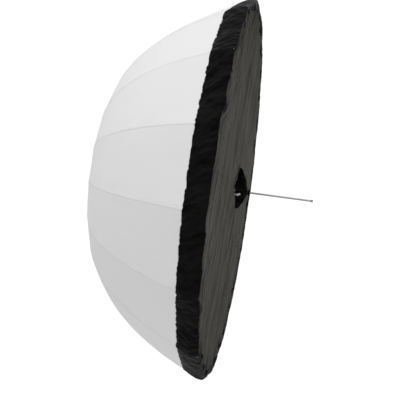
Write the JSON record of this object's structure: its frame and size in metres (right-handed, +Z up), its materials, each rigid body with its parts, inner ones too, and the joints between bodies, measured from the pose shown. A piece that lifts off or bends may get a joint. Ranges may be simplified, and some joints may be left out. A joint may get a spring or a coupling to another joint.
{
  "type": "umbrella reflector",
  "caption": "Deep white studio umbrella on a thin shaft, folding ribs under a parabolic canopy, its mouth closed by a black slip-on cover with a gathered band.",
  "frame": {"origin": "the point on the shaft's axis where a light stand's umbrella grip holds it", "axes": "+X along the shaft towards its free end, +Z up, +Y completes the right-handed frame"},
  "size_m": [0.9454, 1.6388, 1.6388],
  "materials": {
    "shaft": "polished steel tube",
    "end_cap": "moulded cap",
    "hub": "moulded nylon",
    "pivot_wire": "drawn wire",
    "crown_cap": "moulded cap",
    "runner": "moulded nylon",
    "catch": "spring steel",
    "ribs": "black glass-fibre rod with crimped clip",
    "stretchers": "black enamelled steel",
    "canopy_cloth": "white translucent nylon",
    "cover_face_cloth": "matt black nylon, silver inside",
    "cover_band_cloth": "glossy black gathered nylon with elastic",
    "toggle": "moulded cord lock"
  },
  "bodies": {
    "shaft_assembly": {"shaft": "shaft", "shaft_end_cap": "end_cap", "rib_hub": "hub", "hub_wire": "pivot_wire", "crown_cap": "crown_cap"},
    "runner": {"runner": "runner", "runner_wire": "pivot_wire"},
    "catch": {"catch_spring": "catch"},
    "cover": {"cover_face": "cover_face_cloth", "cover_band": "cover_band_cloth", "cover_collar": "cover_band_cloth", "collar_toggle": "toggle"},
    "rib_arm_01": {"rib_01": "ribs", "canopy_panel_01": "canopy_cloth"},
    "stretcher_arm_01": {"stretcher_01": "stretchers"},
    "rib_arm_02": {"rib_02": "ribs", "canopy_panel_02": "canopy_cloth"},
    "stretcher_arm_02": {"stretcher_02": "stretchers"},
    "rib_arm_03": {"rib_03": "ribs", "canopy_panel_03": "canopy_cloth"},
    "stretcher_arm_03": {"stretcher_03": "stretchers"},
    "rib_arm_04": {"rib_04": "ribs", "canopy_panel_04": "canopy_cloth"},
    "stretcher_arm_04": {"stretcher_04": "stretchers"},
    "rib_arm_05": {"rib_05": "ribs", "canopy_panel_05": "canopy_cloth"},
    "stretcher_arm_05": {"stretcher_05": "stretchers"},
    "rib_arm_06": {"rib_06": "ribs", "canopy_panel_06": "canopy_cloth"},
    "stretcher_arm_06": {"stretcher_06": "stretchers"},
    "rib_arm_07": {"rib_07": "ribs", "canopy_panel_07": "canopy_cloth"},
    "stretcher_arm_07": {"stretcher_07": "stretchers"},
    "rib_arm_08": {"rib_08": "ribs", "canopy_panel_08": "canopy_cloth"},
    "stretcher_arm_08": {"stretcher_08": "stretchers"},
    "rib_arm_09": {"rib_09": "ribs", "canopy_panel_09": "canopy_cloth"},
    "stretcher_arm_09": {"stretcher_09": "stretchers"},
    "rib_arm_10": {"rib_10": "ribs", "canopy_panel_10": "canopy_cloth"},
    "stretcher_arm_10": {"stretcher_10": "stretchers"},
    "rib_arm_11": {"rib_11": "ribs", "canopy_panel_11": "canopy_cloth"},
    "stretcher_arm_11": {"stretcher_11": "stretchers"},
    "rib_arm_12": {"rib_12": "ribs", "canopy_panel_12": "canopy_cloth"},
    "stretcher_arm_12": {"stretcher_12": "stretchers"},
    "rib_arm_13": {"rib_13": "ribs", "canopy_panel_13": "canopy_cloth"},
    "stretcher_arm_13": {"stretcher_13": "stretchers"},
    "rib_arm_14": {"rib_14": "ribs", "canopy_panel_14": "canopy_cloth"},
    "stretcher_arm_14": {"stretcher_14": "stretchers"},
    "rib_arm_15": {"rib_15": "ribs", "canopy_panel_15": "canopy_cloth"},
    "stretcher_arm_15": {"stretcher_15": "stretchers"},
    "rib_arm_16": {"rib_16": "ribs", "canopy_panel_16": "canopy_cloth"},
    "stretcher_arm_16": {"stretcher_16": "stretchers"}
  },
  "joints": [
    {"name": "runner_slide", "type": "slide", "parent": "shaft_assembly", "child": "runner", "axis": [1, 0, 0], "range_m": [0, 0.391], "deforming": ["canopy_panel_01", "canopy_panel_02", "canopy_panel_03", "canopy_panel_04", "canopy_panel_05", "canopy_panel_06", "canopy_panel_07", "canopy_panel_08", "canopy_panel_09", "canopy_panel_10", "canopy_panel_11", "canopy_panel_12", "canopy_panel_13", "canopy_panel_14", "canopy_panel_15", "canopy_panel_16", "cover_face", "cover_band", "catch_spring"]},
    {"name": "catch_press", "type": "slide", "parent": "shaft_assembly", "child": "catch", "axis": [0, 0, -1], "range_m": [0, 0.0024], "stiffness_N_per_m": 600},
    {"name": "cover_pull_off", "type": "slide", "parent": "shaft_assembly", "child": "cover", "axis": [1, 0, 0], "range_m": [0, 0.55], "deforming": ["cover_band"]},
    {"name": "rib_fold_01", "type": "hinge", "parent": "shaft_assembly", "child": "rib_arm_01", "pos_m": [-0.8238, 0.01487, 0.00196], "axis": [0, 0.1305, -0.9914], "range_deg": [0, 50]},
    {"name": "stretcher_fold_01", "type": "hinge", "parent": "runner", "child": "stretcher_arm_01", "pos_m": [-0.711, 0.01487, 0.00196], "axis": [0, -0.1305, 0.9914], "range_deg": [0, 38]},
    {"name": "rib_fold_02", "type": "hinge", "parent": "shaft_assembly", "child": "rib_arm_02", "pos_m": [-0.8238, 0.01299, 0.0075], "axis": [0, 0.5, -0.866], "range_deg": [0, 50]},
    {"name": "stretcher_fold_02", "type": "hinge", "parent": "runner", "child": "stretcher_arm_02", "pos_m": [-0.711, 0.01299, 0.0075], "axis": [0, -0.5, 0.866], "range_deg": [0, 38]},
    {"name": "rib_fold_03", "type": "hinge", "parent": "shaft_assembly", "child": "rib_arm_03", "pos_m": [-0.8238, 0.00913, 0.0119], "axis": [0, 0.7934, -0.6088], "range_deg": [0, 50]},
    {"name": "stretcher_fold_03", "type": "hinge", "parent": "runner", "child": "stretcher_arm_03", "pos_m": [-0.711, 0.00913, 0.0119], "axis": [0, -0.7934, 0.6088], "range_deg": [0, 38]},
    {"name": "rib_fold_04", "type": "hinge", "parent": "shaft_assembly", "child": "rib_arm_04", "pos_m": [-0.8238, 0.00388, 0.01449], "axis": [0, 0.9659, -0.2588], "range_deg": [0, 50]},
    {"name": "stretcher_fold_04", "type": "hinge", "parent": "runner", "child": "stretcher_arm_04", "pos_m": [-0.711, 0.00388, 0.01449], "axis": [0, -0.9659, 0.2588], "range_deg": [0, 38]},
    {"name": "rib_fold_05", "type": "hinge", "parent": "shaft_assembly", "child": "rib_arm_05", "pos_m": [-0.8238, -0.00196, 0.01487], "axis": [0, 0.9914, 0.1305], "range_deg": [0, 50]},
    {"name": "stretcher_fold_05", "type": "hinge", "parent": "runner", "child": "stretcher_arm_05", "pos_m": [-0.711, -0.00196, 0.01487], "axis": [0, -0.9914, -0.1305], "range_deg": [0, 38]},
    {"name": "rib_fold_06", "type": "hinge", "parent": "shaft_assembly", "child": "rib_arm_06", "pos_m": [-0.8238, -0.0075, 0.01299], "axis": [0, 0.866, 0.5], "range_deg": [0, 50]},
    {"name": "stretcher_fold_06", "type": "hinge", "parent": "runner", "child": "stretcher_arm_06", "pos_m": [-0.711, -0.0075, 0.01299], "axis": [0, -0.866, -0.5], "range_deg": [0, 38]},
    {"name": "rib_fold_07", "type": "hinge", "parent": "shaft_assembly", "child": "rib_arm_07", "pos_m": [-0.8238, -0.0119, 0.00913], "axis": [0, 0.6088, 0.7934], "range_deg": [0, 50]},
    {"name": "stretcher_fold_07", "type": "hinge", "parent": "runner", "child": "stretcher_arm_07", "pos_m": [-0.711, -0.0119, 0.00913], "axis": [0, -0.6088, -0.7934], "range_deg": [0, 38]},
    {"name": "rib_fold_08", "type": "hinge", "parent": "shaft_assembly", "child": "rib_arm_08", "pos_m": [-0.8238, -0.01449, 0.00388], "axis": [0, 0.2588, 0.9659], "range_deg": [0, 50]},
    {"name": "stretcher_fold_08", "type": "hinge", "parent": "runner", "child": "stretcher_arm_08", "pos_m": [-0.711, -0.01449, 0.00388], "axis": [0, -0.2588, -0.9659], "range_deg": [0, 38]},
    {"name": "rib_fold_09", "type": "hinge", "parent": "shaft_assembly", "child": "rib_arm_09", "pos_m": [-0.8238, -0.01487, -0.00196], "axis": [0, -0.1305, 0.9914], "range_deg": [0, 50]},
    {"name": "stretcher_fold_09", "type": "hinge", "parent": "runner", "child": "stretcher_arm_09", "pos_m": [-0.711, -0.01487, -0.00196], "axis": [0, 0.1305, -0.9914], "range_deg": [0, 38]},
    {"name": "rib_fold_10", "type": "hinge", "parent": "shaft_assembly", "child": "rib_arm_10", "pos_m": [-0.8238, -0.01299, -0.0075], "axis": [0, -0.5, 0.866], "range_deg": [0, 50]},
    {"name": "stretcher_fold_10", "type": "hinge", "parent": "runner", "child": "stretcher_arm_10", "pos_m": [-0.711, -0.01299, -0.0075], "axis": [0, 0.5, -0.866], "range_deg": [0, 38]},
    {"name": "rib_fold_11", "type": "hinge", "parent": "shaft_assembly", "child": "rib_arm_11", "pos_m": [-0.8238, -0.00913, -0.0119], "axis": [0, -0.7934, 0.6088], "range_deg": [0, 50]},
    {"name": "stretcher_fold_11", "type": "hinge", "parent": "runner", "child": "stretcher_arm_11", "pos_m": [-0.711, -0.00913, -0.0119], "axis": [0, 0.7934, -0.6088], "range_deg": [0, 38]},
    {"name": "rib_fold_12", "type": "hinge", "parent": "shaft_assembly", "child": "rib_arm_12", "pos_m": [-0.8238, -0.00388, -0.01449], "axis": [0, -0.9659, 0.2588], "range_deg": [0, 50]},
    {"name": "stretcher_fold_12", "type": "hinge", "parent": "runner", "child": "stretcher_arm_12", "pos_m": [-0.711, -0.00388, -0.01449], "axis": [0, 0.9659, -0.2588], "range_deg": [0, 38]},
    {"name": "rib_fold_13", "type": "hinge", "parent": "shaft_assembly", "child": "rib_arm_13", "pos_m": [-0.8238, 0.00196, -0.01487], "axis": [0, -0.9914, -0.1305], "range_deg": [0, 50]},
    {"name": "stretcher_fold_13", "type": "hinge", "parent": "runner", "child": "stretcher_arm_13", "pos_m": [-0.711, 0.00196, -0.01487], "axis": [0, 0.9914, 0.1305], "range_deg": [0, 38]},
    {"name": "rib_fold_14", "type": "hinge", "parent": "shaft_assembly", "child": "rib_arm_14", "pos_m": [-0.8238, 0.0075, -0.01299], "axis": [0, -0.866, -0.5], "range_deg": [0, 50]},
    {"name": "stretcher_fold_14", "type": "hinge", "parent": "runner", "child": "stretcher_arm_14", "pos_m": [-0.711, 0.0075, -0.01299], "axis": [0, 0.866, 0.5], "range_deg": [0, 38]},
    {"name": "rib_fold_15", "type": "hinge", "parent": "shaft_assembly", "child": "rib_arm_15", "pos_m": [-0.8238, 0.0119, -0.00913], "axis": [0, -0.6088, -0.7934], "range_deg": [0, 50]},
    {"name": "stretcher_fold_15", "type": "hinge", "parent": "runner", "child": "stretcher_arm_15", "pos_m": [-0.711, 0.0119, -0.00913], "axis": [0, 0.6088, 0.7934], "range_deg": [0, 38]},
    {"name": "rib_fold_16", "type": "hinge", "parent": "shaft_assembly", "child": "rib_arm_16", "pos_m": [-0.8238, 0.01449, -0.00388], "axis": [0, -0.2588, -0.9659], "range_deg": [0, 50]},
    {"name": "stretcher_fold_16", "type": "hinge", "parent": "runner", "child": "stretcher_arm_16", "pos_m": [-0.711, 0.01449, -0.00388], "axis": [0, 0.2588, 0.9659], "range_deg": [0, 38]}
  ],
  "couplings": [
    {"joint": "rib_fold_01", "follows": "runner_slide", "rad_per_m": 2.2319},
    {"joint": "stretcher_fold_01", "follows": "runner_slide", "rad_per_m": 1.6962},
    {"joint": "rib_fold_02", "follows": "runner_slide", "rad_per_m": 2.2319},
    {"joint": "stretcher_fold_02", "follows": "runner_slide", "rad_per_m": 1.6962},
    {"joint": "rib_fold_03", "follows": "runner_slide", "rad_per_m": 2.2319},
    {"joint": "stretcher_fold_03", "follows": "runner_slide", "rad_per_m": 1.6962},
    {"joint": "rib_fold_04", "follows": "runner_slide", "rad_per_m": 2.2319},
    {"joint": "stretcher_fold_04", "follows": "runner_slide", "rad_per_m": 1.6962},
    {"joint": "rib_fold_05", "follows": "runner_slide", "rad_per_m": 2.2319},
    {"joint": "stretcher_fold_05", "follows": "runner_slide", "rad_per_m": 1.6962},
    {"joint": "rib_fold_06", "follows": "runner_slide", "rad_per_m": 2.2319},
    {"joint": "stretcher_fold_06", "follows": "runner_slide", "rad_per_m": 1.6962},
    {"joint": "rib_fold_07", "follows": "runner_slide", "rad_per_m": 2.2319},
    {"joint": "stretcher_fold_07", "follows": "runner_slide", "rad_per_m": 1.6962},
    {"joint": "rib_fold_08", "follows": "runner_slide", "rad_per_m": 2.2319},
    {"joint": "stretcher_fold_08", "follows": "runner_slide", "rad_per_m": 1.6962},
    {"joint": "rib_fold_09", "follows": "runner_slide", "rad_per_m": 2.2319},
    {"joint": "stretcher_fold_09", "follows": "runner_slide", "rad_per_m": 1.6962},
    {"joint": "rib_fold_10", "follows": "runner_slide", "rad_per_m": 2.2319},
    {"joint": "stretcher_fold_10", "follows": "runner_slide", "rad_per_m": 1.6962},
    {"joint": "rib_fold_11", "follows": "runner_slide", "rad_per_m": 2.2319},
    {"joint": "stretcher_fold_11", "follows": "runner_slide", "rad_per_m": 1.6962},
    {"joint": "rib_fold_12", "follows": "runner_slide", "rad_per_m": 2.2319},
    {"joint": "stretcher_fold_12", "follows": "runner_slide", "rad_per_m": 1.6962},
    {"joint": "rib_fold_13", "follows": "runner_slide", "rad_per_m": 2.2319},
    {"joint": "stretcher_fold_13", "follows": "runner_slide", "rad_per_m": 1.6962},
    {"joint": "rib_fold_14", "follows": "runner_slide", "rad_per_m": 2.2319},
    {"joint": "stretcher_fold_14", "follows": "runner_slide", "rad_per_m": 1.6962},
    {"joint": "rib_fold_15", "follows": "runner_slide", "rad_per_m": 2.2319},
    {"joint": "stretcher_fold_15", "follows": "runner_slide", "rad_per_m": 1.6962},
    {"joint": "rib_fold_16", "follows": "runner_slide", "rad_per_m": 2.2319},
    {"joint": "stretcher_fold_16", "follows": "runner_slide", "rad_per_m": 1.6962}
  ]
}
